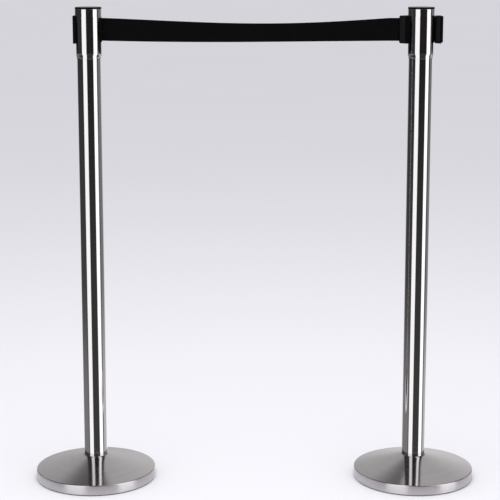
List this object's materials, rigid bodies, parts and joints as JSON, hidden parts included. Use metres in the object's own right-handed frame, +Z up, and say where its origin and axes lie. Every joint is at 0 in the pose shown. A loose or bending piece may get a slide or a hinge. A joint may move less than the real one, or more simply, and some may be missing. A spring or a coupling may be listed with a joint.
{
  "type": "retractable belt stanchion",
  "caption": "Pair of free-standing stainless barrier posts joined by a black retractable belt, with a spring cassette, receiver and belt end clip in each head.",
  "frame": {"origin": "on the floor, midway between the two posts", "axes": "+X from the left post, which pays out the belt, to the right post, which receives it; +Z up along the posts; the belt lies in the XZ plane"},
  "size_m": [0.96, 0.26, 1.03],
  "materials": {
    "stainless": "polished stainless steel with fine lengthwise grain",
    "black_plastic": "satin moulded",
    "webbing": "plain-woven polyester webbing",
    "cast_weight": "as cast, painted",
    "floor_rubber": "matt",
    "zinc_steel": "zinc plated",
    "black_screw": "black oxide",
    "spring_steel": "blued strip",
    "ground_steel": "ground"
  },
  "bodies": {
    "root": {"left_base_cover": "stainless", "left_base_weight": "cast_weight", "left_floor_ring": "floor_rubber", "left_base_bolt": "zinc_steel", "left_base_washer": "zinc_steel", "left_tube_plug": "zinc_steel", "left_tube": "stainless", "left_head_sleeve": "stainless", "left_head_cap": "black_plastic", "left_cassette_housing": "black_plastic", "left_housing_screws": "black_screw", "left_spring_cup": "black_plastic", "left_spring": "spring_steel", "left_axle": "ground_steel", "left_thrust_washer": "ground_steel", "left_receiver": "black_plastic", "left_receiver_screws": "black_screw", "belt_span": "webbing"},
    "left_spool": {"left_spool": "black_plastic", "left_wound_belt": "webbing"},
    "right_post": {"right_base_cover": "stainless", "right_base_weight": "cast_weight", "right_floor_ring": "floor_rubber", "right_base_bolt": "zinc_steel", "right_base_washer": "zinc_steel", "right_tube_plug": "zinc_steel", "right_tube": "stainless", "right_head_sleeve": "stainless", "right_head_cap": "black_plastic", "right_cassette_housing": "black_plastic", "right_housing_screws": "black_screw", "right_spring_cup": "black_plastic", "right_spring": "spring_steel", "right_axle": "ground_steel", "right_thrust_washer": "ground_steel", "right_receiver": "black_plastic", "right_receiver_screws": "black_screw", "right_belt": "webbing"},
    "right_spool": {"right_spool": "black_plastic", "right_wound_belt": "webbing"},
    "left_clip": {"left_clip_body": "black_plastic", "left_clip_pin": "ground_steel"},
    "right_clip": {"right_clip_body": "black_plastic", "right_clip_pin": "ground_steel"}
  },
  "joints": [
    {"name": "post_spacing", "type": "slide", "parent": "root", "child": "right_post", "axis": [1, 0, 0], "range_m": [-0.33, 1.3], "stiffness_N_per_m": 3, "springref_m": -2.64, "deforming": ["belt_span"]},
    {"name": "clip_lift", "type": "slide", "parent": "right_post", "child": "left_clip", "axis": [0, 0, 1], "range_m": [0, 0.056]},
    {"name": "right_belt_pull", "type": "slide", "parent": "right_post", "child": "right_clip", "axis": [1, 0, 0], "range_m": [0, 1.95], "stiffness_N_per_m": 3, "springref_m": -2, "deforming": ["right_belt"]},
    {"name": "left_spool_turn", "type": "hinge", "parent": "root", "child": "left_spool", "pos_m": [-0.35, 0, 0.983], "axis": [0, 0, 1], "range_deg": [-5000, 1300], "deforming": ["left_spring"]},
    {"name": "right_spool_turn", "type": "hinge", "parent": "right_post", "child": "right_spool", "pos_m": [0.35, 0, 0.983], "axis": [0, 0, 1], "range_deg": [-7500, 10], "deforming": ["right_spring"]}
  ],
  "couplings": [
    {"joint": "left_spool_turn", "follows": "post_spacing", "rad_per_m": -66.667},
    {"joint": "right_spool_turn", "follows": "right_belt_pull", "rad_per_m": -66.667}
  ]
}
